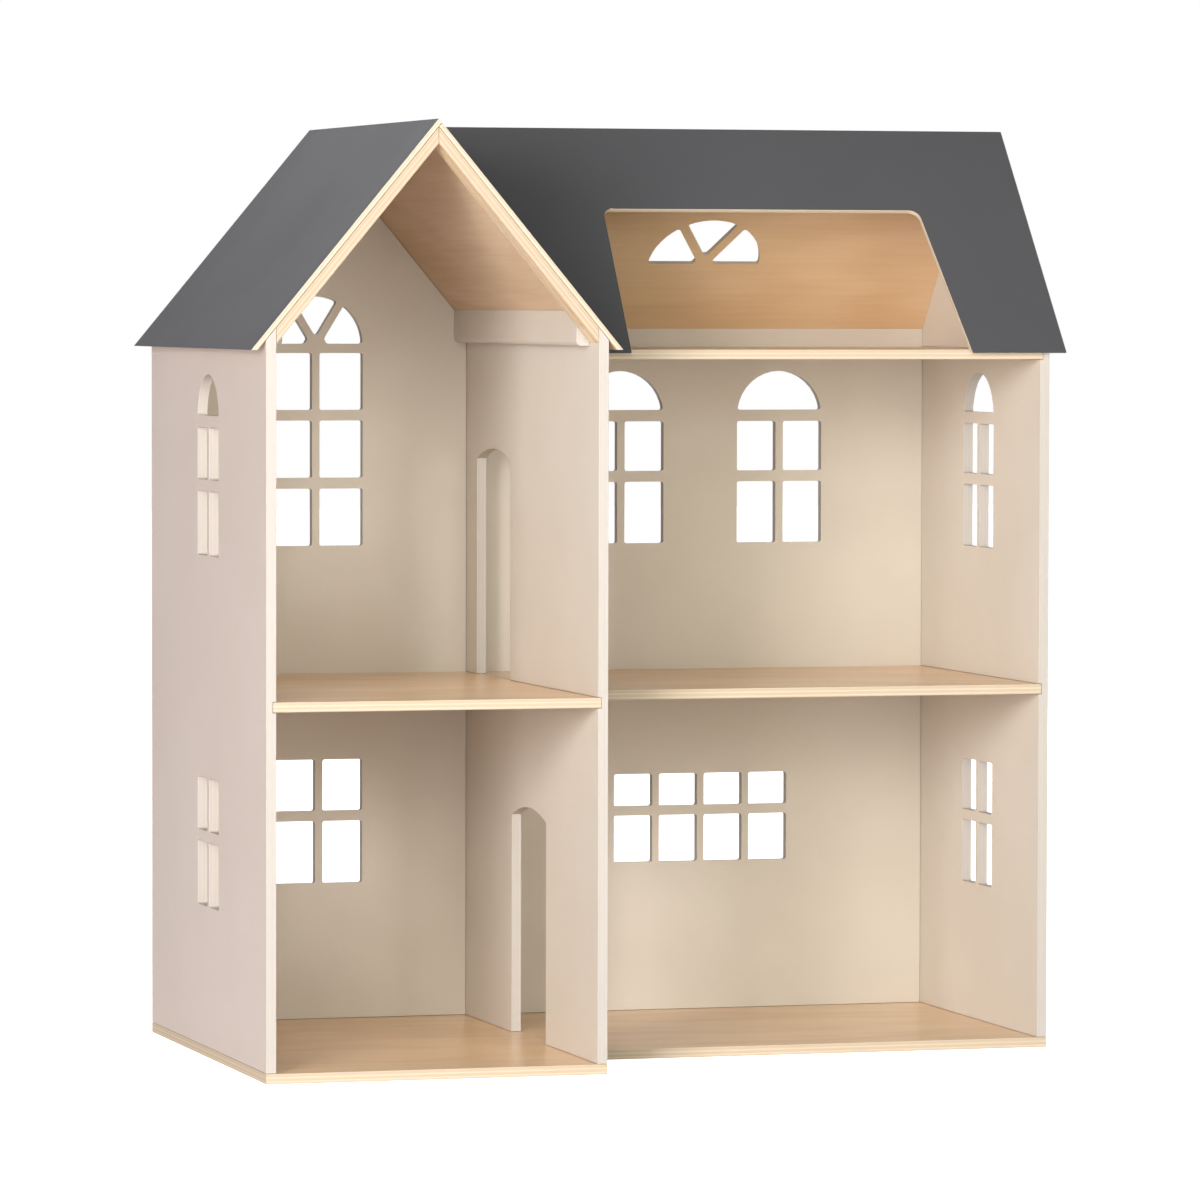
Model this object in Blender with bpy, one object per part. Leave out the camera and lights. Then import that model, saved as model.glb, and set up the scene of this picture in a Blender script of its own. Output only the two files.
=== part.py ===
"""Wooden dollhouse with a gabled left wing and a long, set-back main wing.

Everything hangs on one empty that stands at the left wall's outer face, at the
front of the left wing and on the ground. From there x runs right along the
front, y runs back and z runs up. The empty puts the middle of the object's
footprint on the world origin.
"""

import math

import bmesh
import bpy
from mathutils import Vector

# Boards and fits
PANEL = 0.008
SHEET = 0.004
GAP = 0.0003
HOUSING = 0.0025

# Plan
HOUSE_WIDTH = 0.679
WALL_DEPTH = 0.406
LEFT_ROOM = 0.260
MAIN_SETBACK = 0.101
MIDDLE_X = PANEL + LEFT_ROOM
MAIN_X = MIDDLE_X + PANEL
RIGHT_X = HOUSE_WIDTH - PANEL
BACK_Y = WALL_DEPTH - PANEL

# Heights of the floors' tops
UPPER_FLOOR_Z = 0.297
ATTIC_FLOOR_Z = 0.5695

# Roofs
RIDGE_Z = 0.750
ROOF_DEPTH = 0.420
SIDE_OVERHANG = 0.012
LEFT_RIDGE_X = PANEL + LEFT_ROOM / 2
LEFT_EAVE_Z = 0.570
MAIN_EAVE_Z = 0.5665
MAIN_RIDGE_Y = 0.256
MAIN_RIDGE_RUN = ROOF_DEPTH - MAIN_RIDGE_Y
RAFTER_DEPTH = 0.024
RAIL_THICKNESS = 0.011
RAIL_BOTTOM_Z = 0.573
RAIL_FRONT_Y = 0.026
RAIL_ROUND = 0.004

# Front roof cut-out: x at the eave and at its top edge, and how far up the slope it goes
CUTOUT_EAVE_X = (0.3225, 0.6096)
CUTOUT_TOP_X = (0.3285, 0.5975)
CUTOUT_RISE = 0.156
CUTOUT_RADII = (0.008, 0.009)

# Windows
MUNTIN = 0.0065
PANE_ROUND = 0.0018
ARCH_WINDOW_WIDTH = 0.075
ARCH_WINDOW_ROWS = ((0.4035, 0.4555), (0.4645, 0.5065))
ARCH_SILL_Z = 0.516
ARCH_CENTRE_Z = 0.5115
SMALL_WINDOW_WIDTH = 0.0745
SMALL_WINDOW_ROWS = ((0.1215, 0.1735), (0.182, 0.225))
SIDE_WINDOW_Y = 0.199
RIGHT_WINDOW_Y = 0.252
BACK_ARCH_X = (0.403, 0.543)
LEFT_BACK_WINDOW_X = 0.1407
WIDE_WINDOW_X = 0.3977
WIDE_WINDOW_PITCH = 0.0396
WIDE_WINDOW_PANE = 0.0336
WIDE_WINDOW_COLUMNS = 4
WIDE_WINDOW_ROWS = ((0.1335, 0.173), (0.181, 0.2082))
TALL_WINDOW_WIDTH = 0.0805
TALL_WINDOW_ROWS = ((0.4035, 0.4513), (0.4602, 0.508), (0.5168, 0.5642))
TALL_FAN_Z = 0.571
TALL_FAN_SILL_Z = 0.572
FAN_RAY_ANGLE = math.radians(31.5)
ROOF_FAN_X = 0.4603
ROOF_FAN_RISE = 0.1008
ROOF_FAN_RADIUS = 0.0484
ROOF_FAN_RAY = 0.008

# Doorways through the middle wall
DOOR_RISE = 0.009
UPPER_DOOR_Y = (0.2608, 0.3639)
UPPER_DOOR_SPRING_Z = 0.477
LOWER_DOOR_Y = (0.1508, 0.254)
LOWER_DOOR_SPRING_Z = 0.1873

# Hardware
SCREW_SIDES = 20
SCREW_HEAD_R = 0.003
SCREW_SHANK_R = 0.0014
SCREW_RECESS = 0.0008
SCREW_TOP_Z = 0.028
SCREW_POINT = 0.003
CROSS_LENGTH = 0.0034
CROSS_WIDTH = 0.0007
CROSS_DEPTH = 0.0011
DOWEL_SIDES = 20
DOWEL_R = 0.002
DOWEL_LENGTH = 0.028
DOWEL_Y = {"front": 0.150, "rear": 0.360}
SCREW_SPOTS = {
    "left_wall": ((PANEL / 2, 0.060), (PANEL / 2, 0.340)),
    "middle_wall": ((MIDDLE_X + PANEL / 2, 0.060), (MIDDLE_X + PANEL / 2, 0.320)),
    "right_wall": ((RIGHT_X + PANEL / 2, 0.160), (RIGHT_X + PANEL / 2, 0.340)),
    "back_wall_left": ((0.060, BACK_Y + PANEL / 2), (0.216, BACK_Y + PANEL / 2)),
    "back_wall_main": ((0.350, BACK_Y + PANEL / 2), (0.597, BACK_Y + PANEL / 2)),
}

# Finishes: base colour, roughness, metallic
PAINT = ((0.73, 0.64, 0.55), 0.55, 0.0)
BIRCH = ((0.72, 0.53, 0.35), 0.45, 0.0)
ROOF_PAINT = ((0.095, 0.095, 0.1), 0.6, 0.0)
BEECH = ((0.66, 0.46, 0.29), 0.6, 0.0)
ZINC = ((0.62, 0.63, 0.65), 0.35, 1.0)

FAR = 1.0
CUT_PAST = 0.02
XY, XZ, YZ = (0, 1, 2), (0, 2, 1), (1, 2, 0)


def clear_scene():
    for obj in list(bpy.data.objects):
        bpy.data.objects.remove(obj)


def make_root():
    root = bpy.data.objects.new("house_corner", None)
    bpy.context.scene.collection.objects.link(root)
    root.location = (-HOUSE_WIDTH / 2, -ROOF_DEPTH / 2, 0)
    return root


def finish_of(name, finish):
    colour, roughness, metallic = finish
    material = bpy.data.materials.new(name)
    material.use_nodes = True
    shader = material.node_tree.nodes["Principled BSDF"]
    shader.inputs["Base Color"].default_value = (*colour, 1)
    shader.inputs["Roughness"].default_value = roughness
    shader.inputs["Metallic"].default_value = metallic
    return material


def object_of(bm, name, root):
    bmesh.ops.recalc_face_normals(bm, faces=bm.faces)
    mesh = bpy.data.meshes.new(name)
    bm.to_mesh(mesh)
    bm.free()
    obj = bpy.data.objects.new(name, mesh)
    bpy.context.scene.collection.objects.link(obj)
    obj.parent = root
    return obj


def add_prism(bm, outline, axes, low, high):
    """Extrudes a flat outline along the third of the axes, from low to high."""
    across, up, along = axes
    ring = []
    for a, b in outline:
        point = Vector((0, 0, 0))
        point[across], point[up], point[along] = a, b, low
        ring.append(bm.verts.new(point))
    grown = bmesh.ops.extrude_face_region(bm, geom=[bm.faces.new(ring)])
    step = Vector((0, 0, 0))
    step[along] = high - low
    moved = [item for item in grown["geom"] if isinstance(item, bmesh.types.BMVert)]
    bmesh.ops.translate(bm, verts=moved, vec=step)


def rectangle(a0, a1, b0, b1):
    return [(a0, b0), (a1, b0), (a1, b1), (a0, b1)]


def trim(bm, point, normal):
    """Removes what lies on the normal's side of a plane and closes the cut."""
    every = bm.verts[:] + bm.edges[:] + bm.faces[:]
    cut = bmesh.ops.bisect_plane(
        bm, geom=every, dist=1e-7, plane_co=point, plane_no=normal, clear_outer=True
    )
    edges = [item for item in cut["geom_cut"] if isinstance(item, bmesh.types.BMEdge)]
    bmesh.ops.holes_fill(bm, edges=edges, sides=0)


class Slope:
    """The outer surface of one roof slope: a plane through a ridge."""

    def __init__(self, point, run, drop):
        self.point = Vector(point)
        level = Vector(run)
        self.pitch = math.atan2(drop, level.length)
        level.normalize()
        self.normal = level * math.sin(self.pitch) + Vector((0, 0, math.cos(self.pitch)))

    def below(self, bm, depth=0.0):
        """Keeps what is under the slope, or under a parallel plane inside it."""
        trim(bm, self.point - self.normal * depth, self.normal)

    def above(self, bm, depth=0.0):
        trim(bm, self.point - self.normal * depth, -self.normal)


LEFT_RUN = LEFT_RIDGE_X + SIDE_OVERHANG
LEFT_RIDGE = (LEFT_RIDGE_X, 0, RIDGE_Z)
MAIN_RIDGE = (0, MAIN_RIDGE_Y, RIDGE_Z)
OUTER_SLOPE = Slope(LEFT_RIDGE, (-LEFT_RUN, 0, 0), RIDGE_Z - LEFT_EAVE_Z)
INNER_SLOPE = Slope(LEFT_RIDGE, (LEFT_RUN, 0, 0), RIDGE_Z - LEFT_EAVE_Z)
FRONT_SLOPE = Slope(MAIN_RIDGE, (0, -MAIN_RIDGE_RUN, 0), RIDGE_Z - MAIN_EAVE_Z)
REAR_SLOPE = Slope(MAIN_RIDGE, (0, MAIN_RIDGE_RUN, 0), RIDGE_Z - MAIN_EAVE_Z)


def board(name, root, finish, outline, axes, low, high, under=(), over=()):
    """A flat board, cut off under some slopes and, for roof sheets, above others."""
    bm = bmesh.new()
    add_prism(bm, outline, axes, low, high)
    for slope, depth in under:
        slope.below(bm, depth)
    for slope, depth in over:
        slope.above(bm, depth)
    obj = object_of(bm, name, root)
    obj.data.materials.append(finish_of(name, finish))
    return obj


def cutter(name, root, outlines, axes, low, high):
    """A hidden helper whose separate prisms are taken out of a board."""
    bm = bmesh.new()
    for outline in outlines:
        add_prism(bm, outline, axes, low, high)
    obj = object_of(bm, name, root)
    hide_helper(obj)
    return obj


def hide_helper(obj):
    obj.hide_render = True
    obj.display_type = "WIRE"


def cut(obj, helper):
    modifier = obj.modifiers.new(helper.name, "BOOLEAN")
    modifier.operation = "DIFFERENCE"
    modifier.solver = "EXACT"
    modifier.object = helper


def rounded(outline, radii, steps=3):
    """Rounds the corners of an outline; radii holds one radius per corner, or one for all."""
    if isinstance(radii, float):
        radii = [radii] * len(outline)
    result = []
    for index, (corner, radius) in enumerate(zip(outline, radii)):
        here = Vector(corner)
        if radius == 0:
            result.append(tuple(here))
            continue
        back = (Vector(outline[index - 1]) - here).normalized()
        ahead = (Vector(outline[(index + 1) % len(outline)]) - here).normalized()
        half = back.angle(ahead) / 2
        middle = here + (back + ahead).normalized() * (radius / math.sin(half))
        start = here + back * (radius / math.tan(half)) - middle
        end = here + ahead * (radius / math.tan(half)) - middle
        for step in range(steps + 1):
            spoke = start.lerp(end, step / steps).normalized() * radius
            result.append(tuple(middle + spoke))
    return result


def arc(centre, radius, start, end, steps):
    """Points of an arc; angles are from straight up, turning towards the right."""
    points = []
    for step in range(steps + 1):
        angle = start + (end - start) * step / steps
        points.append(
            (centre[0] + radius * math.sin(angle), centre[1] + radius * math.cos(angle))
        )
    return points


def mirrored(outline, centre):
    return [(2 * centre - a, b) for a, b in outline]


def pane(left, right, low, high):
    return rounded(rectangle(left, right, low, high), PANE_ROUND)


def two_columns(centre, width):
    return (
        (centre - width / 2, centre - MUNTIN / 2),
        (centre + MUNTIN / 2, centre + width / 2),
    )


def pane_grid(columns, rows):
    return [pane(left, right, low, high) for left, right in columns for low, high in rows]


def arch_pane(centre, radius, sill):
    """One half-round top light: its sill, then the arc over it."""
    spring = math.acos((sill - centre[1]) / radius)
    curve = arc(centre, radius, -spring, spring, 16)
    radii = [PANE_ROUND, *[0] * (len(curve) - 2), PANE_ROUND]
    return rounded(curve, radii)


def arched_window(centre):
    """Two columns of panes under one half-round light."""
    panes = pane_grid(two_columns(centre, ARCH_WINDOW_WIDTH), ARCH_WINDOW_ROWS)
    top = arch_pane((centre, ARCH_CENTRE_Z), ARCH_WINDOW_WIDTH / 2, ARCH_SILL_Z)
    return [*panes, top]


def small_window(centre):
    return pane_grid(two_columns(centre, SMALL_WINDOW_WIDTH), SMALL_WINDOW_ROWS)


def fan_panes(centre, radius, sill, ray):
    """Three lights of a half-round window, parted by two slanting rays."""
    half = ray / 2
    reach = math.sqrt(radius**2 - half**2)
    lean = math.asin(half / radius)
    out = (math.sin(FAN_RAY_ANGLE), math.cos(FAN_RAY_ANGLE))
    foot = (sill - centre[1] + half * out[0]) / out[1]
    inner_foot = (
        centre[0] + foot * out[0] + half * out[1],
        centre[1] + foot * out[1] - half * out[0],
    )
    spring = math.acos((sill - centre[1]) / radius)
    curve = arc(centre, radius, FAN_RAY_ANGLE + lean, spring, 7)
    round_ends = [PANE_ROUND, *[0] * (len(curve) - 2), PANE_ROUND]
    side = rounded([inner_foot, *curve], [2 * PANE_ROUND, *round_ends])
    tip = (centre[0], centre[1] + half / out[0])
    crown = arc(centre, radius, -FAN_RAY_ANGLE + lean, FAN_RAY_ANGLE - lean, 7)
    middle = rounded([tip, *crown], [1.4 * PANE_ROUND, *round_ends])
    assert reach > foot
    return [side, mirrored(side, centre[0]), middle]


def doorway(span, floor, spring):
    """A door opening whose flat segmental arch rises a little above its jambs."""
    near, far = span
    half = (far - near) / 2
    radius = (half**2 + DOOR_RISE**2) / (2 * DOOR_RISE)
    centre = ((near + far) / 2, spring + DOOR_RISE - radius)
    reach = math.asin(half / radius)
    return [(far, floor), (near, floor), *arc(centre, radius, -reach, reach, 12)]


def make_bases(root):
    left = rectangle(0, MAIN_X, 0, WALL_DEPTH)
    main = rectangle(MAIN_X + GAP, HOUSE_WIDTH, MAIN_SETBACK, WALL_DEPTH)
    return {
        "base_left": board("base_left", root, BIRCH, left, XY, 0, PANEL),
        "base_main": board("base_main", root, BIRCH, main, XY, 0, PANEL),
    }


def housings(name, root, low_x, high_x, tops, front=-CUT_PAST):
    """Grooves across a wall's face that take the edges of the floors."""
    slots = [rectangle(front, BACK_Y, top - PANEL - GAP, top + GAP) for top in tops]
    return cutter(name, root, slots, YZ, low_x, high_x)


def make_walls(root):
    foot = PANEL + GAP
    under_left_roof = SHEET + GAP
    end = rectangle(0, WALL_DEPTH, foot, FAR)
    main_end = rectangle(MAIN_SETBACK, WALL_DEPTH, foot, FAR)
    deep = HOUSING + GAP

    left = board("left_wall", root, PAINT, end, YZ, 0, PANEL, [(OUTER_SLOPE, under_left_roof)])
    panes = [*arched_window(SIDE_WINDOW_Y), *small_window(SIDE_WINDOW_Y)]
    cut(left, cutter("left_wall_panes", root, panes, YZ, -CUT_PAST, PANEL + CUT_PAST))
    cut(left, housings("left_wall_housing", root, PANEL - deep, 2 * PANEL, [UPPER_FLOOR_Z]))

    middle = board(
        "middle_wall", root, PAINT, end, YZ, MIDDLE_X, MAIN_X, [(INNER_SLOPE, under_left_roof)]
    )
    doors = [
        doorway(LOWER_DOOR_Y, 0, LOWER_DOOR_SPRING_Z),
        doorway(UPPER_DOOR_Y, UPPER_FLOOR_Z, UPPER_DOOR_SPRING_Z),
    ]
    cut(middle, cutter("doorways", root, doors, YZ, MIDDLE_X - CUT_PAST, MAIN_X + CUT_PAST))
    room_side = (MIDDLE_X - PANEL, MIDDLE_X + deep)
    cut(middle, housings("middle_wall_left_housing", root, *room_side, [UPPER_FLOOR_Z]))
    main_side = (MAIN_X - deep, MAIN_X + PANEL)
    tops = [UPPER_FLOOR_Z, ATTIC_FLOOR_Z]
    stop = MAIN_SETBACK - GAP
    cut(middle, housings("middle_wall_main_housing", root, *main_side, tops, stop))

    under_main_roof = [(FRONT_SLOPE, SHEET + GAP), (REAR_SLOPE, SHEET + GAP)]
    right = board("right_wall", root, PAINT, main_end, YZ, RIGHT_X, HOUSE_WIDTH, under_main_roof)
    panes = [*arched_window(RIGHT_WINDOW_Y), *small_window(RIGHT_WINDOW_Y)]
    low, high = RIGHT_X - CUT_PAST, HOUSE_WIDTH + CUT_PAST
    cut(right, cutter("right_wall_panes", root, panes, YZ, low, high))
    cut(right, housings("right_wall_housing", root, RIGHT_X - PANEL, RIGHT_X + deep, tops))
    return {"left_wall": left, "middle_wall": middle, "right_wall": right}


def wide_window():
    columns = []
    for column in range(WIDE_WINDOW_COLUMNS):
        left = WIDE_WINDOW_X + column * WIDE_WINDOW_PITCH
        columns.append((left, left + WIDE_WINDOW_PANE))
    return pane_grid(columns, WIDE_WINDOW_ROWS)


def tall_window():
    panes = pane_grid(two_columns(LEFT_RIDGE_X, TALL_WINDOW_WIDTH), TALL_WINDOW_ROWS)
    centre = (LEFT_RIDGE_X, TALL_FAN_Z)
    return panes + fan_panes(centre, TALL_WINDOW_WIDTH / 2, TALL_FAN_SILL_Z, MUNTIN)


def make_back_walls(root):
    foot = PANEL + GAP
    low, high = BACK_Y - CUT_PAST, WALL_DEPTH + CUT_PAST
    outline = rectangle(PANEL + GAP, MIDDLE_X - GAP, foot, FAR)
    gable = [(OUTER_SLOPE, SHEET + GAP), (INNER_SLOPE, SHEET + GAP)]
    left = board("back_wall_left", root, PAINT, outline, XZ, BACK_Y, WALL_DEPTH, gable)
    panes = [*tall_window(), *small_window(LEFT_BACK_WINDOW_X)]
    cut(left, cutter("back_wall_left_panes", root, panes, XZ, low, high))

    # The left roof's eave passes through the upper left corner of the main back wall.
    eave_x = LEFT_RIDGE_X + LEFT_RUN + 2 * GAP
    notch_z = LEFT_EAVE_Z - GAP
    start, end = MAIN_X + GAP, RIGHT_X - GAP
    outline = [(start, foot), (end, foot), (end, FAR), (eave_x, FAR)]
    outline += [(eave_x, notch_z), (start, notch_z)]
    under = [(REAR_SLOPE, SHEET + GAP)]
    main = board("back_wall_main", root, PAINT, outline, XZ, BACK_Y, WALL_DEPTH, under)
    panes = wide_window()
    for centre in BACK_ARCH_X:
        panes += arched_window(centre)
    cut(main, cutter("back_wall_main_panes", root, panes, XZ, low, high))
    return {"back_wall_left": left, "back_wall_main": main}


def make_floors(root):
    back = BACK_Y - GAP
    left = rectangle(PANEL - HOUSING, MIDDLE_X + HOUSING, 0, back)
    main = rectangle(MAIN_X - HOUSING, RIGHT_X + HOUSING, MAIN_SETBACK, back)
    upper, attic = UPPER_FLOOR_Z, ATTIC_FLOOR_Z
    board("upper_floor_left", root, BIRCH, left, XY, upper - PANEL, upper)
    board("upper_floor_main", root, BIRCH, main, XY, upper - PANEL, upper)
    board("attic_floor", root, BIRCH, main, XY, attic - PANEL, attic)


def make_left_roof(root):
    """Two sheets; the outer one laps over the upper edge of the inner one."""
    outline = rectangle(-FAR, FAR, LEFT_EAVE_Z, FAR)
    lap = [(OUTER_SLOPE, 0), (INNER_SLOPE, 0)]
    upper = [(OUTER_SLOPE, SHEET)]
    board("roof_left_outer", root, ROOF_PAINT, outline, XZ, 0, ROOF_DEPTH, lap, upper)
    butt = [(INNER_SLOPE, 0), (OUTER_SLOPE, SHEET + GAP)]
    upper = [(INNER_SLOPE, SHEET)]
    board("roof_left_inner", root, ROOF_PAINT, outline, XZ, 0, ROOF_DEPTH, butt, upper)

    # Timber under each front edge, from the wall's inner face to a plumb joint at the ridge.
    top = SHEET + GAP
    bottom = top + PANEL
    halves = {
        "left": (OUTER_SLOPE, (PANEL + GAP, LEFT_RIDGE_X - GAP / 2)),
        "right": (INNER_SLOPE, (LEFT_RIDGE_X + GAP / 2, MIDDLE_X - GAP)),
    }
    for side, (slope, (start, end)) in halves.items():
        outline = rectangle(start, end, 0, FAR)
        name = "gable_rafter_" + side
        under, over = [(slope, top)], [(slope, bottom)]
        board(name, root, BIRCH, outline, XZ, 0, RAFTER_DEPTH, under, over)

    # Rails along the wall tops, with the room-side lower edge rounded.
    start, end = PANEL + GAP, PANEL + RAIL_THICKNESS
    corners = rectangle(start, end, RAIL_BOTTOM_Z, FAR)
    outline = rounded(corners, [0.0, RAIL_ROUND, 0.0, 0.0], 5)
    outlines = {
        "left": (outline, OUTER_SLOPE),
        "middle": (mirrored(outline, LEFT_RIDGE_X), INNER_SLOPE),
    }
    for side, (outline, slope) in outlines.items():
        name = "roof_rail_" + side
        length = (RAIL_FRONT_Y, BACK_Y - GAP)
        board(name, root, PAINT, outline, XZ, *length, [(slope, top)])


def make_main_roof(root):
    """Two sheets that run left over the left roof and stop at the valley."""
    outline = rectangle(-FAR, FAR, MAIN_EAVE_Z, FAR)
    end = HOUSE_WIDTH + SIDE_OVERHANG
    valley = (INNER_SLOPE, -GAP)
    lap = [(FRONT_SLOPE, 0), (REAR_SLOPE, 0)]
    over = [(FRONT_SLOPE, SHEET), valley]
    front = board("roof_main_front", root, ROOF_PAINT, outline, YZ, 0, end, lap, over)
    butt = [(REAR_SLOPE, 0), (FRONT_SLOPE, SHEET + GAP)]
    over = [(REAR_SLOPE, SHEET), valley]
    rear = board("roof_main_rear", root, ROOF_PAINT, outline, YZ, 0, end, butt, over)

    # The cut-out's sides run on past the eave along their own lines.
    share = CUT_PAST / CUTOUT_RISE
    eave_x = [
        low + (low - high) * share for low, high in zip(CUTOUT_EAVE_X, CUTOUT_TOP_X)
    ]
    corners = [
        (eave_x[0], -CUT_PAST),
        (eave_x[1], -CUT_PAST),
        (CUTOUT_TOP_X[1], CUTOUT_RISE),
        (CUTOUT_TOP_X[0], CUTOUT_RISE),
    ]
    outline = rounded(corners, [0.0, 0.0, CUTOUT_RADII[1], CUTOUT_RADII[0]], 8)
    helper = cutter("roof_cutout", root, [outline], XY, -CUT_PAST, CUT_PAST)
    helper.location = (0, MAIN_RIDGE_Y - MAIN_RIDGE_RUN, MAIN_EAVE_Z)
    helper.rotation_euler = (FRONT_SLOPE.pitch, 0, 0)
    cut(front, helper)

    panes = fan_panes((0, 0), ROOF_FAN_RADIUS, 0.0, ROOF_FAN_RAY)
    helper = cutter("roof_fan_panes", root, panes, XY, -CUT_PAST, CUT_PAST)
    pitch = REAR_SLOPE.pitch
    rise = Vector((0, -math.cos(pitch), math.sin(pitch))) * ROOF_FAN_RISE
    helper.location = Vector((ROOF_FAN_X, ROOF_DEPTH, MAIN_EAVE_Z)) + rise
    helper.rotation_euler = (pitch, 0, math.pi)
    cut(rear, helper)


def turned(name, root, profile, sides):
    """Spins a (radius, height) profile that starts and ends on the axis."""
    bm = bmesh.new()
    verts = [bm.verts.new((radius, 0, height)) for radius, height in profile]
    edges = [bm.edges.new(pair) for pair in zip(verts, verts[1:])]
    bmesh.ops.spin(
        bm, geom=verts + edges, cent=(0, 0, 0), axis=(0, 0, 1), angle=math.tau, steps=sides
    )
    bmesh.ops.remove_doubles(bm, verts=bm.verts, dist=1e-6)
    return object_of(bm, name, root)


def make_screws(root, boards):
    """Countersunk screws driven up through the bases into the walls."""
    neck = SCREW_RECESS + SCREW_HEAD_R - SCREW_SHANK_R
    body = [
        (0, SCREW_RECESS),
        (SCREW_HEAD_R, SCREW_RECESS),
        (SCREW_SHANK_R, neck),
        (SCREW_SHANK_R, SCREW_TOP_Z - SCREW_POINT),
        (0, SCREW_TOP_Z),
    ]
    room = 1.5 * GAP
    bore = [
        (0, -CUT_PAST),
        (SCREW_HEAD_R + room, -CUT_PAST),
        (SCREW_HEAD_R + room, SCREW_RECESS),
        (SCREW_SHANK_R + room, neck),
        (SCREW_SHANK_R + room, SCREW_TOP_Z - SCREW_POINT),
        (0, SCREW_TOP_Z + 3 * room),
    ]
    for wall, spots in SCREW_SPOTS.items():
        base = "base_left" if spots[0][0] < MAIN_X else "base_main"
        for number, spot in enumerate(spots, 1):
            name = f"screw_{wall}_{number}"
            screw = turned(name, root, body, SCREW_SIDES)
            screw.data.shade_smooth()
            screw.data.set_sharp_from_angle(angle=math.radians(30))
            screw.data.materials.append(finish_of(name, ZINC))
            half, wide = CROSS_LENGTH / 2, CROSS_WIDTH / 2
            cross = [(-half, -wide), (-wide, -wide), (-wide, -half), (wide, -half)]
            cross += [(wide, -wide), (half, -wide), (half, wide), (wide, wide)]
            cross += [(wide, half), (-wide, half), (-wide, wide), (-half, wide)]
            top = SCREW_RECESS + CROSS_DEPTH
            drive = cutter(name + "_drive", root, [cross], XY, 0, top)
            hole = turned(name + "_bore", root, bore, SCREW_SIDES)
            hide_helper(hole)
            for piece in (screw, drive, hole):
                piece.location = (*spot, 0)
            cut(screw, drive)
            cut(boards[base], hole)
            cut(boards[wall], hole)


def make_dowels(root, boards):
    """Pegs across the joint between the two bases."""
    body = [(0, 0), (DOWEL_R, 0), (DOWEL_R, DOWEL_LENGTH), (0, DOWEL_LENGTH)]
    room, ends = DOWEL_R + 1.2 * GAP, 2 * GAP
    bore = [(0, -ends), (room, -ends), (room, DOWEL_LENGTH + ends), (0, DOWEL_LENGTH + ends)]
    for side, y in DOWEL_Y.items():
        name = "base_dowel_" + side
        dowel = turned(name, root, body, DOWEL_SIDES)
        dowel.data.shade_smooth()
        dowel.data.set_sharp_from_angle(angle=math.radians(40))
        dowel.data.materials.append(finish_of(name, BEECH))
        hole = turned(name + "_bore", root, bore, DOWEL_SIDES)
        hide_helper(hole)
        for piece in (dowel, hole):
            piece.location = (MAIN_X + GAP / 2 - DOWEL_LENGTH / 2, y, PANEL / 2)
            piece.rotation_euler = (0, math.pi / 2, 0)
        cut(boards["base_left"], hole)
        cut(boards["base_main"], hole)


def main():
    clear_scene()
    root = make_root()
    boards = {**make_bases(root), **make_walls(root), **make_back_walls(root)}
    make_floors(root)
    make_left_roof(root)
    make_main_roof(root)
    make_screws(root, boards)
    make_dowels(root, boards)


main()
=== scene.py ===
"""The looks of the wooden dollhouse: finishes, softened edges, studio and camera."""

import math

import bmesh
import bpy
from mathutils import Matrix, Vector


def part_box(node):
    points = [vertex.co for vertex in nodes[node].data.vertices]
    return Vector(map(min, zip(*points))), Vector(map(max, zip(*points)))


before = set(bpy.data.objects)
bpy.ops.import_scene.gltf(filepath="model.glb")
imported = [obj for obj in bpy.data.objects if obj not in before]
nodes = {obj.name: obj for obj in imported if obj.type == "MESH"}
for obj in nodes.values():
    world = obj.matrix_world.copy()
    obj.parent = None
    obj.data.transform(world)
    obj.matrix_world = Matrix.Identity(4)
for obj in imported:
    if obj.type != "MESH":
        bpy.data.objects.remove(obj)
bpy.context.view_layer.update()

X, Y, Z = Vector((1, 0, 0)), Vector((0, 1, 0)), Vector((0, 0, 1))

# Camera: where it stands, how it is turned in radians, its sensor and lens in millimetres,
# and how many metres it sees
CAMERA_AT = (-1.61613, -5.5237, 0.61369)
CAMERA_YAW = 0.28308
CAMERA_PITCH = 0.04331
CAMERA_ROLL = 0.00206
SENSOR = 36.0
LENS = 211.734
SIGHT = 60

# Stock: thickness in metres and number of plies
PANEL = (0.008, 5)
RAIL = (0.011, 5)
SHEET = (0.004, 3)
DOWEL = (0.004, 1)
GAP = 0.0003

# Edge softening in metres, by kind of piece, and what counts as an edge
WALL_EDGE = 0.0006
FLOOR_EDGE = 0.0005
SHEET_EDGE = 0.00035
SMALL_EDGE = 0.00012
SANDED_EDGE = 0.001
WELD_WITHIN = 1e-6
SHARP = math.radians(32)

# Texture scales per metre. Groups run along the grain, across it, and through the board.
RING_SCALE = (2.6, 9.0)
STREAK_SCALE = (9.0, 230.0, 230.0)
PORE_SCALE = (70.0, 1500.0, 1500.0)
FIBRE_SCALE = (14.0, 380.0, 380.0)
ROLLER_SCALE = 900.0
STIPPLE_SCALE = 1100.0
BLOTCH_SCALE = 700.0

# How far each seed moves the wood's figure, and how strongly the floors show theirs
SEED_SHIFT = 3.7
FLOOR_FIGURE = 0.12

# Heights of the surface textures, in metres
BIRCH_RELIEF = 0.00003
PAINT_RELIEF = 0.00005
ROOF_RELIEF = 0.00006

# How squarely a roof sheet's surface faces outward where its paint begins, and how much
# more squarely where it is whole. SANDED_FROM is for the front sheet, whose rim is sanded.
COVER_FROM = 0.62
SANDED_FROM = 0.9
COVER_FADE = 0.08

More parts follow.
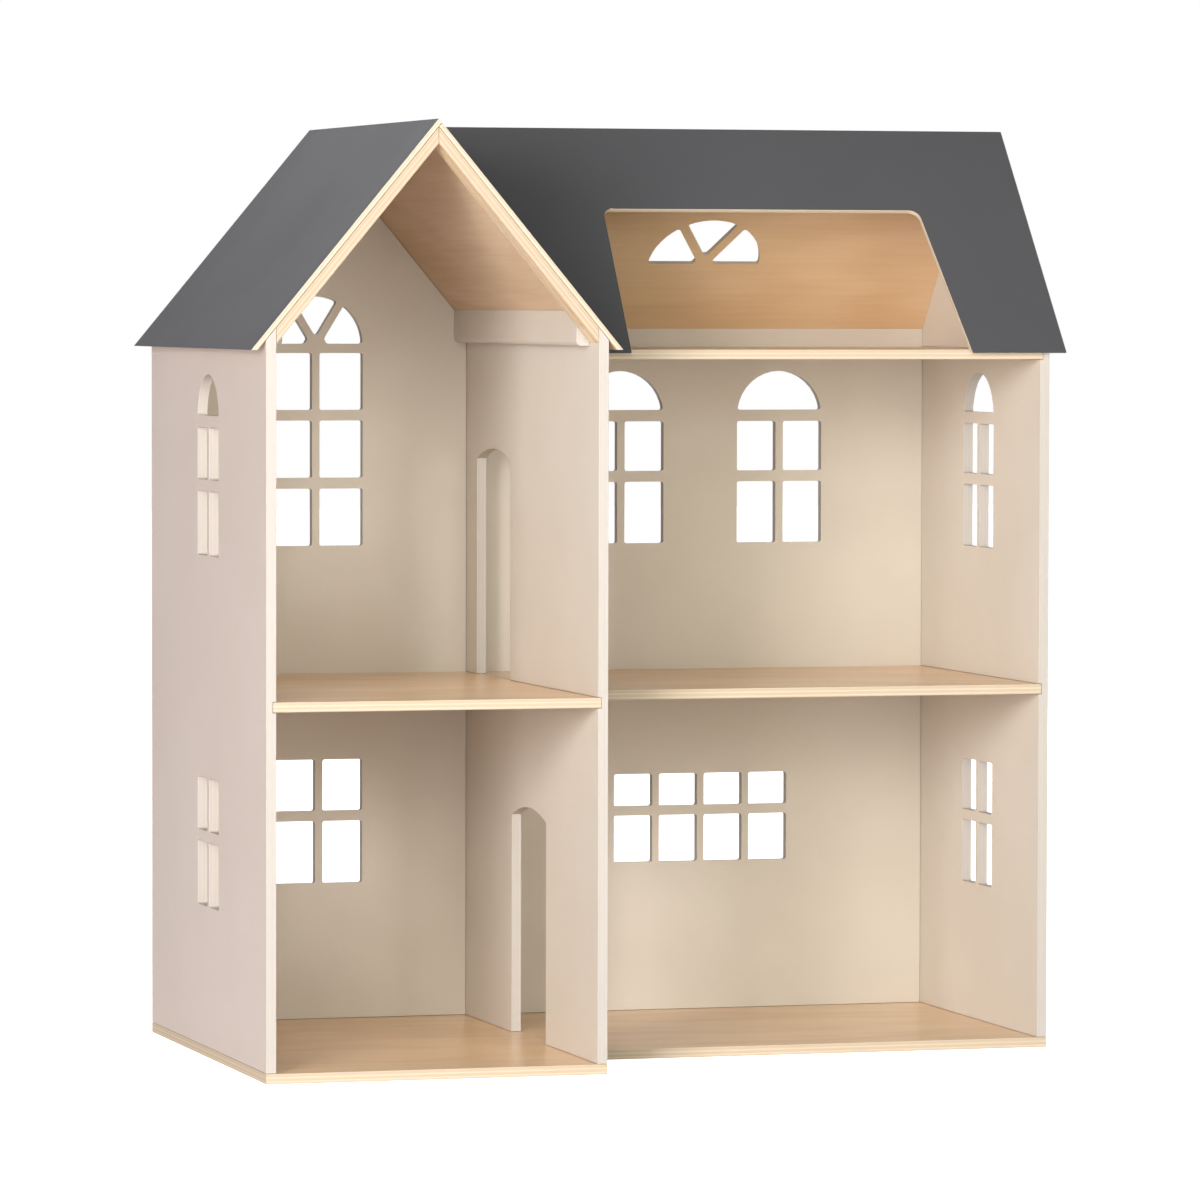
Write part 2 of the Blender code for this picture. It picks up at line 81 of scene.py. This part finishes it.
# Linear colours
PAINT = (0.612, 0.551, 0.474)
PAINT_SHADE = (0.587, 0.523, 0.443)
PAINT_RUBBED = (0.636, 0.581, 0.525)
# Painted shade: a darker copy of the paint for the edge faces, which catch strong light
PAINT_EDGE_SHADE = (0.465, 0.418, 0.377)
BIRCH_LIGHT = (0.757, 0.555, 0.348)
BIRCH_DARK = (0.658, 0.447, 0.258)
BIRCH_PORE = (0.516, 0.353, 0.211)
PLY_LIGHT = (0.619, 0.507, 0.378)
PLY_DARK = (0.537, 0.413, 0.288)
# Dark glue lines in the ply, also used for painted shade at the arrises
PLY_GLUE_AND_SHADE = (0.378, 0.271, 0.176)
ROOF_PAINT = (0.086, 0.084, 0.090)
ROOF_SHADE = (0.082, 0.080, 0.086)
ROOF_ARRIS = (0.035, 0.034, 0.037)
ROOF_RUBBED = (0.129, 0.125, 0.127)
ZINC_LIGHT = (0.62, 0.63, 0.66)
ZINC_DARK = (0.5, 0.5, 0.52)
STUDIO_LIGHT = (0.93, 0.93, 0.93)
STUDIO_DARK = (0.9, 0.9, 0.9)
WHITE = (1.0, 1.0, 1.0)

# Tints, which multiply a piece's colours
PALE_SHEET = (0.87, 0.87, 0.94)
# Painted shade: the left roof's paint is a darker, bluer copy of the same paint as the main roof
LEFT_COAT_SHADE = (0.75, 0.75, 0.81)
RAFTER_RIM = (0.91, 0.87, 0.85)
SHEET_RIM = (1.0, 1.03, 1.08)
# Painted light on the walls, which share one paint: the left wall's darker, pinker copy stands
# in for the light on its outer face, and the middle and right walls' brighter, cooler copy for
# the light inside the rooms
WALL_LIGHT_TINTS = {
    "left_wall": (0.98, 0.918, 0.96),
    "middle_wall": (1.045, 1.055, 1.065),
    "right_wall": (1.045, 1.055, 1.065),
}
# The floors' tint; the left wing's floors take a brighter copy of it as painted light for the
# light in the left rooms
FLOOR_TINT, LEFT_FLOOR_LIT_TINT = (1.07, 1.02, 0.955), (1.16, 1.09, 1.01)

# Studio lights, all aimed at LOOK_AT: name, place, width and height, watts, colour
WARM, COOL = (1.0, 0.975, 0.995), (0.965, 1.0, 0.93)
LIGHTS = (
    ("key", (-2.9, -3.4, 0.9), (1.6, 1.7), 197, WARM),
    ("top", (-1.9, -4.0, 2.0), (2.2, 1.8), 76, COOL),
    ("front", (-0.3, -4.6, 0.8), (1.8, 1.5), 32, COOL),
    ("fill", (1.0, -4.2, 0.8), (2.2, 1.5), 38, COOL),
    ("rear", (0.0, 3.4, 3.0), (2.8, 2.4), 74, WHITE),
    ("rear_side", (3.2, 3.0, 1.8), (2.6, 2.2), 66, WHITE),
)
LOOK_AT = (0, 0, 0.35)

# Brightness of the backdrop as the object's light, in its reflections and to the camera
AMBIENT = 0.06
GLEAM = 0.22
BACKDROP = 1.0

# The studio floor: half its width, its depth below the object, and its own glow
FLOOR_REACH = 14
FLOOR_DROP = 0.0002
FLOOR_GLOW = 1.02


class Graph:
    """A material's node tree; each call adds a node and returns its output."""

    def __init__(self, name):
        self.material = bpy.data.materials.new(name)
        self.material.use_nodes = True
        self.tree = self.material.node_tree
        self.shader = self.tree.nodes["Principled BSDF"]
        self.coords = self.tree.nodes.new("ShaderNodeTexCoord")

    def feed(self, socket, value):
        if isinstance(value, bpy.types.NodeSocket):
            self.tree.links.new(value, socket)
        elif isinstance(value, tuple) and len(socket.default_value) == 4:
            socket.default_value = (*value, 1)
        else:
            socket.default_value = value

    def math(self, operation, *values, clamp=False):
        node = self.tree.nodes.new("ShaderNodeMath")
        node.operation = operation
        node.use_clamp = clamp
        for socket, value in zip(node.inputs, values):
            self.feed(socket, value)
        return node.outputs[0]

    def vector(self, operation, *values):
        node = self.tree.nodes.new("ShaderNodeVectorMath")
        node.operation = operation
        for socket, value in zip(node.inputs, values):
            self.feed(socket, value)
        return node.outputs["Value" if operation == "DOT_PRODUCT" else "Vector"]

    def combine(self, *values):
        node = self.tree.nodes.new("ShaderNodeCombineXYZ")
        for socket, value in zip(node.inputs, values):
            self.feed(socket, value)
        return node.outputs[0]

    def stretched(self, parts, scales):
        """A texture vector from three coordinates, each with its own scale."""
        return self.combine(*(self.math("MULTIPLY", *pair) for pair in zip(parts, scales)))

    def noise(self, vector, scale=1.0, detail=2.0, roughness=0.5):
        node = self.tree.nodes.new("ShaderNodeTexNoise")
        self.feed(node.inputs["Vector"], vector)
        self.feed(node.inputs["Scale"], scale)
        self.feed(node.inputs["Detail"], detail)
        self.feed(node.inputs["Roughness"], roughness)
        return node.outputs["Fac"]

    def span(self, value, low, high, to_low=0.0, to_high=1.0):
        """Maps low..high smoothly onto another range."""
        node = self.tree.nodes.new("ShaderNodeMapRange")
        node.interpolation_type = "SMOOTHSTEP"
        for socket, number in zip(node.inputs, (value, low, high, to_low, to_high)):
            self.feed(socket, number)
        return node.outputs[0]

    def mix(self, factor, low, high):
        node = self.tree.nodes.new("ShaderNodeMix")
        node.data_type = "RGBA"
        self.feed(node.inputs["Factor"], factor)
        self.feed(node.inputs[6], low)
        self.feed(node.inputs[7], high)
        return node.outputs[2]

    def bump(self, height, distance, strength=1.0):
        node = self.tree.nodes.new("ShaderNodeBump")
        self.feed(node.inputs["Strength"], strength)
        self.feed(node.inputs["Distance"], distance)
        self.feed(node.inputs["Height"], height)
        self.feed(self.shader.inputs["Normal"], node.outputs[0])

    def facing(self, direction):
        """How squarely the surface faces along a direction, from 0 at an edge face to 1."""
        along = self.vector("DOT_PRODUCT", self.coords.outputs["Normal"], tuple(direction))
        return self.math("ABSOLUTE", along)

    def board_space(self, board):
        """Coordinates in metres: along the grain, across it, and through the board."""
        point = self.vector("SUBTRACT", self.coords.outputs["Object"], tuple(board.origin))
        axes = (board.grain, board.across, board.normal)
        return [self.vector("DOT_PRODUCT", point, tuple(axis)) for axis in axes]


class Board:
    """How a board lies and looks: a point on its face, the face's normal, the grain, the
    stock, the tints of its face and of its rim, and how strongly the wood's figure shows."""

    def __init__(self, origin, normal, grain, stock, seed, tint=WHITE, rim=WHITE, figure=1.0):
        self.origin = Vector(origin)
        self.normal = Vector(normal).normalized()
        self.grain = Vector(grain).normalized()
        self.across = self.normal.cross(self.grain)
        self.thickness, self.plies = stock
        self.seed = seed
        self.tint = tint
        self.rim = rim
        self.figure = figure


def tinted(colour, tint):
    return tuple(channel * share for channel, share in zip(colour, tint))


def wood_figure(graph, board, space):
    """Slow drift, fine streaks and pores of sliced birch, each a share from 0 to 1."""
    along, across, through = space
    shift = SEED_SHIFT * board.seed
    moved = graph.math("ADD", along, shift)
    slow = (graph.math("MULTIPLY", *pair) for pair in zip((moved, across), RING_SCALE))
    drift = graph.noise(graph.combine(*slow, shift), detail=2.0, roughness=0.45)
    fine = graph.stretched((moved, across, through), STREAK_SCALE)
    streak = graph.noise(fine, detail=5.0, roughness=0.6)
    tiny = graph.stretched((moved, across, through), PORE_SCALE)
    pore = graph.span(graph.noise(tiny, detail=2.0, roughness=0.5), 0.60, 0.74)
    return drift, streak, pore


def birch_face(graph, board, across, drift, streak, pore):
    """Colour of a sliced face, with rings that wander with the drift."""
    rings = graph.math("MULTIPLY", drift, 46.0)
    rings = graph.math("ADD", rings, graph.math("MULTIPLY", across, 30.0))
    flame = graph.span(graph.math("SINE", rings), -1.0, 1.0)
    tone = graph.math("MULTIPLY", flame, 0.32)
    tone = graph.math("ADD", tone, graph.span(streak, 0.3, 0.75, 0.0, 0.34 * board.figure))
    tone = graph.math("ADD", tone, graph.span(drift, 0.3, 0.7, -0.1, 0.3), clamp=True)
    face = graph.mix(tone, tinted(BIRCH_LIGHT, board.tint), tinted(BIRCH_DARK, board.tint))
    pore_share = graph.math("MULTIPLY", pore, 0.16 * board.figure)
    return graph.mix(pore_share, face, tinted(BIRCH_PORE, board.tint))


def ply_wave(graph, board, through, wobble=0.0):
    """A wave through the board: 0 in the middle of each pale ply, 1 in each dark one."""
    layer = graph.math("MULTIPLY", through, -board.plies / board.thickness)
    return graph.math("PINGPONG", graph.math("ADD", layer, wobble), 1.0)


def ply_edge(graph, board, through, streak):
    """Colour of a sawn edge: pale and dark plies, glue lines, and painted shade darkening the
    arrises where boards meet.
    """
    wave = ply_wave(graph, board, through, graph.span(streak, 0.2, 0.8, -0.06, 0.06))
    pale, dark = tinted(PLY_LIGHT, board.rim), tinted(PLY_DARK, board.rim)
    edge = graph.mix(graph.span(wave, 0.42, 0.58), pale, dark)
    from_line = graph.math("ABSOLUTE", graph.math("SUBTRACT", wave, 0.5))
    edge = graph.mix(graph.span(from_line, 0.0, 0.12, 0.6, 0.0), edge, PLY_GLUE_AND_SHADE)
    edge = graph.mix(graph.span(streak, 0.35, 0.8, 0.0, 0.3), edge, dark)
    # Painted shade: the edge darkens towards both faces of the board, standing in for the shade
    # where boards meet.
    middle = graph.math("ADD", through, board.thickness / 2)
    rim = graph.math("MULTIPLY", graph.math("ABSOLUTE", middle), 2 / board.thickness)
    return graph.mix(graph.span(rim, 0.86, 0.97, 0.0, 0.45), edge, PLY_GLUE_AND_SHADE)


def wood(graph, board):
    """Bare birch ply: its colour, its height, its streaks and how far it is edge."""
    space = graph.board_space(board)
    drift, streak, pore = wood_figure(graph, board, space)
    face = birch_face(graph, board, space[1], drift, streak, pore)
    edge = ply_edge(graph, board, space[2], streak)
    side = graph.span(graph.facing(board.normal), 0.55, 0.8, 1.0, 0.0)
    height = graph.math("SUBTRACT", streak, graph.math("MULTIPLY", pore, 0.5))
    return graph.mix(side, face, edge), height, streak, side


def birch(node, board):
    """Clear-lacquered birch ply."""
    graph = Graph(node + "_birch")
    colour, height, streak, side = wood(graph, board)
    graph.feed(graph.shader.inputs["Base Color"], colour)
    lacquer = graph.span(streak, 0.3, 0.75, 0.24, 0.24 + 0.08 * board.figure)
    rough = graph.math("ADD", lacquer, graph.math("MULTIPLY", side, 0.35))
    graph.feed(graph.shader.inputs["Roughness"], rough)
    graph.bump(height, BIRCH_RELIEF * board.figure, 0.4)
    return graph.material


def painted(node, board):
    """Satin paint rolled over the whole board, a little rubbed on its edges, with painted shade
    on its edge faces.
    """
    graph = Graph(node + "_paint")
    point = graph.coords.outputs["Object"]
    cloud = graph.noise(point, 5.0 + board.seed, detail=3.0, roughness=0.55)
    roller = graph.noise(point, ROLLER_SCALE, detail=3.0, roughness=0.6)
    space = graph.board_space(board)
    grain = graph.noise(graph.stretched(space, FIBRE_SCALE), detail=4.0, roughness=0.6)
    coat, shade = tinted(PAINT, board.tint), tinted(PAINT_SHADE, board.tint)
    colour = graph.mix(graph.span(cloud, 0.3, 0.7), coat, shade)
    colour = graph.mix(graph.span(grain, 0.55, 0.8, 0.0, 0.35), colour, shade)
    square = graph.facing(board.normal)
    side = graph.span(square, 0.3, 0.6, 1.0, 0.0)
    wave = ply_wave(graph, board, space[2])
    ply = graph.math("MULTIPLY", side, graph.span(wave, 0.3, 0.7, 0.0, 0.16))
    # Painted shade: the edge faces take a darker copy of the paint, holding back the strong
    # light that falls on them.
    colour = graph.mix(graph.math("MULTIPLY", side, 0.9), colour, PAINT_EDGE_SHADE)
    colour = graph.mix(ply, colour, PAINT_SHADE)
    corner = graph.math("MULTIPLY", square, graph.math("SUBTRACT", 1.0, square))
    rub = graph.span(corner, 0.12, 0.24)
    rub = graph.math("MULTIPLY", rub, graph.span(cloud, 0.35, 0.65, 0.35, 0.85))
    colour = graph.mix(rub, colour, PAINT_RUBBED)
    graph.feed(graph.shader.inputs["Base Color"], colour)
    graph.feed(graph.shader.inputs["Roughness"], graph.span(roller, 0.3, 0.7, 0.46, 0.56))
    height = graph.math("ADD", roller, graph.math("MULTIPLY", grain, 0.7))
    graph.bump(height, PAINT_RELIEF, 0.5)
    return graph.material


def roofing(node, board, cover_from=COVER_FROM, coat_tint=WHITE):
    """Matt paint on the outer face only; the underside and the edges are bare birch."""
    graph = Graph(node + "_roof")
    colour, height, streak, _ = wood(graph, board)
    point = graph.coords.outputs["Object"]
    cloud = graph.noise(point, 7.0, detail=4.0, roughness=0.6)
    stipple = graph.noise(point, STIPPLE_SCALE, detail=2.0, roughness=0.6)
    up = graph.vector("DOT_PRODUCT", graph.coords.outputs["Normal"], tuple(board.normal))
    cover = graph.span(up, cover_from, cover_from + COVER_FADE)
    coats = (tinted(paint, coat_tint) for paint in (ROOF_PAINT, ROOF_SHADE))
    coat = graph.mix(graph.span(cloud, 0.3, 0.7), *coats)
    coat = graph.mix(graph.span(stipple, 0.6, 0.8, 0.0, 0.25), coat, ROOF_RUBBED)
    rim = graph.math("MULTIPLY", graph.span(up, 0.7, 0.985, 1.0, 0.0), cover)
    coat = graph.mix(graph.math("MULTIPLY", rim, 0.8), coat, ROOF_ARRIS)
    graph.feed(graph.shader.inputs["Base Color"], graph.mix(cover, colour, coat))
    bare = graph.math("SUBTRACT", 1.0, cover)
    matt = graph.math("MULTIPLY", graph.span(cloud, 0.3, 0.7, 0.60, 0.63), cover)
    sawn = graph.math("MULTIPLY", graph.span(streak, 0.3, 0.75, 0.42, 0.52), bare)
    graph.feed(graph.shader.inputs["Roughness"], graph.math("ADD", matt, sawn))
    graph.shader.inputs["Specular IOR Level"].default_value = 0.35
    relief = graph.math("MULTIPLY", stipple, cover)
    relief = graph.math("ADD", relief, graph.math("MULTIPLY", height, bare))
    graph.bump(relief, ROOF_RELIEF, 0.5)
    return graph.material


def metal(node):
    """Zinc-plated steel."""
    graph = Graph(node + "_zinc")
    blotch = graph.noise(graph.coords.outputs["Object"], BLOTCH_SCALE, detail=4.0, roughness=0.6)
    graph.feed(graph.shader.inputs["Base Color"], graph.mix(blotch, ZINC_LIGHT, ZINC_DARK))
    graph.feed(graph.shader.inputs["Roughness"], graph.span(blotch, 0.3, 0.7, 0.25, 0.45))
    graph.shader.inputs["Metallic"].default_value = 1.0
    return graph.material


def smoothing_group():
    """Geometry nodes that shade a mesh smooth but keep its sharp edges."""
    group = bpy.data.node_groups.new("smooth_by_angle", "GeometryNodeTree")
    group.interface.new_socket("Geometry", in_out="INPUT", socket_type="NodeSocketGeometry")
    group.interface.new_socket("Geometry", in_out="OUTPUT", socket_type="NodeSocketGeometry")
    make = group.nodes.new
    source, sink = make("NodeGroupInput"), make("NodeGroupOutput")
    faces, edges = make("GeometryNodeSetShadeSmooth"), make("GeometryNodeSetShadeSmooth")
    edges.domain = "EDGE"
    angle, limit = make("GeometryNodeInputMeshEdgeAngle"), make("FunctionNodeCompare")
    limit.operation = "LESS_THAN"
    limit.inputs[1].default_value = SHARP
    link = group.links.new
    link(source.outputs[0], faces.inputs["Geometry"])
    link(faces.outputs[0], edges.inputs["Geometry"])
    link(angle.outputs["Unsigned Angle"], limit.inputs[0])
    link(limit.outputs[0], edges.inputs["Shade Smooth"])
    link(edges.outputs[0], sink.inputs[0])
    return group


SMOOTHING = smoothing_group()


def soften(obj, width):
    """Welds the faceted mesh and rounds its sharp edges a little."""
    weld = obj.modifiers.new("weld", "WELD")
    weld.merge_threshold = WELD_WITHIN
    bevel = obj.modifiers.new("edges", "BEVEL")
    bevel.width = width
    bevel.segments = 2
    bevel.limit_method = "ANGLE"
    bevel.angle_limit = SHARP
    smooth = obj.modifiers.new("smooth", "NODES")
    smooth.node_group = SMOOTHING
    flat = obj.modifiers.new("flat_faces", "WEIGHTED_NORMAL")
    flat.keep_sharp = True


def dress(name, material, width):
    """Softens a piece's edges and gives it its one material."""
    obj = nodes[name]
    soften(obj, width)
    obj.data.materials.clear()
    obj.data.materials.append(material)


def slopes(low_sheet, high_sheet, axis):
    """Ridge point and outward normals of a gable roof, read from its two sheets' boxes."""
    low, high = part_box(low_sheet)[0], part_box(high_sheet)[1]
    ridge = (low + high) / 2
    ridge.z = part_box(low_sheet)[1].z
    half = (high[axis] - low[axis]) / 2
    drop = ridge.z - low.z
    low_normal, high_normal = Z * half, Z * half
    low_normal[axis] = -drop
    high_normal[axis] = drop
    return ridge, low_normal.normalized(), high_normal.normalized()


def finish_walls():
    # Each wall's tint is painted light on the one shared paint.
    for seed, (name, tint) in enumerate(WALL_LIGHT_TINTS.items()):
        board = Board(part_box(name)[1], X, Z, PANEL, seed, tint)
        dress(name, painted(name, board), WALL_EDGE)
    for seed, name in enumerate(("back_wall_left", "back_wall_main"), 4):
        board = Board(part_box(name)[1], Y, Z, PANEL, seed)
        dress(name, painted(name, board), WALL_EDGE)
    for seed, name in enumerate(("roof_rail_left", "roof_rail_middle"), 7):
        board = Board(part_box(name)[1], X, Y, RAIL, seed)
        dress(name, painted(name, board), WALL_EDGE)


def finish_floors():
    floors = ("base_left", "base_main", "upper_floor_left", "upper_floor_main", "attic_floor")
    for seed, name in enumerate(floors, 10):
        # Painted light: the left wing's floors are a brighter copy of the same birch.
        tint = LEFT_FLOOR_LIT_TINT if name.endswith("left") else FLOOR_TINT
        board = Board(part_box(name)[1], Z, X, PANEL, seed, tint, figure=FLOOR_FIGURE)
        dress(name, birch(name, board), FLOOR_EDGE)


def finish_left_roof():
    ridge, *normals = slopes("roof_left_outer", "roof_left_inner", 0)
    sheets = zip(("roof_left_outer", "roof_left_inner"), normals)
    for seed, (name, normal) in enumerate(sheets, 20):
        board = Board(ridge, normal, Y, SHEET, seed, PALE_SHEET, SHEET_RIM)
        # The left roof's coat carries painted shade.
        dress(name, roofing(name, board, coat_tint=LEFT_COAT_SHADE), SHEET_EDGE)
    rafters = zip(("gable_rafter_left", "gable_rafter_right"), normals)
    for seed, (name, normal) in enumerate(rafters, 24):
        top = ridge - normal * (SHEET[0] + GAP)
        board = Board(top, normal, normal.cross(Y), PANEL, seed, rim=RAFTER_RIM)
        dress(name, birch(name, board), SHEET_EDGE)


def finish_main_roof():
    ridge, *normals = slopes("roof_main_front", "roof_main_rear", 1)
    front, rear = (
        Board(ridge, normal, X, SHEET, seed, rim=SHEET_RIM)
        for seed, normal in enumerate(normals, 30)
    )
    dress("roof_main_front", roofing("roof_main_front", front, SANDED_FROM), SANDED_EDGE)
    dress("roof_main_rear", roofing("roof_main_rear", rear), SHEET_EDGE)


def finish_fixings():
    for name in nodes:
        if name.startswith("screw_"):
            dress(name, metal(name), SMALL_EDGE)
    for seed, name in enumerate(("base_dowel_rear", "base_dowel_front"), 15):
        board = Board(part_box(name)[1], Z, X, DOWEL, seed)
        dress(name, birch(name, board), SMALL_EDGE)


def make_camera():
    data = bpy.data.cameras.new("camera")
    data.sensor_width = SENSOR
    data.lens = LENS
    data.clip_end = SIGHT
    camera = bpy.data.objects.new("camera", data)
    bpy.context.scene.collection.objects.link(camera)
    turn = Matrix.Rotation(-CAMERA_YAW, 4, "Z")
    tilt = Matrix.Rotation(math.pi / 2 - CAMERA_PITCH, 4, "X")
    roll = Matrix.Rotation(CAMERA_ROLL, 4, "Z")
    camera.matrix_world = Matrix.Translation(CAMERA_AT) @ turn @ tilt @ roll
    bpy.context.scene.camera = camera


def area_light(name, place, size, power, colour):
    data = bpy.data.lights.new(name, "AREA")
    data.shape = "RECTANGLE"
    data.size, data.size_y = size
    data.energy = power
    data.color = colour
    light = bpy.data.objects.new(name, data)
    bpy.context.scene.collection.objects.link(light)
    light.location = place
    toward = Vector(LOOK_AT) - Vector(place)
    light.rotation_mode = "QUATERNION"
    light.rotation_quaternion = toward.to_track_quat("-Z", "Y")


def sky(tree, strength):
    node = tree.nodes.new("ShaderNodeBackground")
    node.inputs["Color"].default_value = (1, 1, 1, 1)
    node.inputs["Strength"].default_value = strength
    return node.outputs[0]


def make_world():
    """A white backdrop that lends the object only a little light."""
    world = bpy.data.worlds.new("studio")
    world.use_nodes = True
    tree = world.node_tree
    tree.nodes.remove(tree.nodes["Background"])
    rays = tree.nodes.new("ShaderNodeLightPath")
    mixed = sky(tree, AMBIENT)
    for ray, strength in (("Is Glossy Ray", GLEAM), ("Is Camera Ray", BACKDROP)):
        mix = tree.nodes.new("ShaderNodeMixShader")
        tree.links.new(rays.outputs[ray], mix.inputs[0])
        tree.links.new(mixed, mix.inputs[1])
        tree.links.new(sky(tree, strength), mix.inputs[2])
        mixed = mix.outputs[0]
    tree.links.new(mixed, tree.nodes["World Output"].inputs["Surface"])
    bpy.context.scene.world = world


def floor_finish():
    """Matt white board, lit up to the backdrop's white."""
    graph = Graph("studio_floor")
    speck = graph.noise(graph.coords.outputs["Object"], 40.0, detail=3.0)
    graph.feed(graph.shader.inputs["Base Color"], graph.mix(speck, STUDIO_LIGHT, STUDIO_DARK))
    graph.shader.inputs["Roughness"].default_value = 0.7
    make, link = graph.tree.nodes.new, graph.tree.links.new
    glow, both = make("ShaderNodeEmission"), make("ShaderNodeAddShader")
    glow.inputs["Strength"].default_value = FLOOR_GLOW
    rays, mix = make("ShaderNodeLightPath"), make("ShaderNodeMixShader")
    link(graph.shader.outputs[0], both.inputs[0])
    link(glow.outputs[0], both.inputs[1])
    link(rays.outputs["Is Camera Ray"], mix.inputs[0])
    link(graph.shader.outputs[0], mix.inputs[1])
    link(both.outputs[0], mix.inputs[2])
    link(mix.outputs[0], graph.tree.nodes["Material Output"].inputs["Surface"])
    return graph.material


def make_floor():
    bm = bmesh.new()
    bmesh.ops.create_grid(bm, x_segments=12, y_segments=12, size=FLOOR_REACH)
    mesh = bpy.data.meshes.new("studio_floor")
    bm.to_mesh(mesh)
    bm.free()
    floor = bpy.data.objects.new("studio_floor", mesh)
    floor.location.z = -FLOOR_DROP
    bpy.context.scene.collection.objects.link(floor)
    mesh.materials.append(floor_finish())


def make_studio():
    make_world()
    for light in LIGHTS:
        area_light(*light)
    make_floor()
    view = bpy.context.scene.view_settings
    view.view_transform = "Standard"
    view.look = "None"


finish_walls()
finish_floors()
finish_left_roof()
finish_main_roof()
finish_fixings()
make_camera()
make_studio()
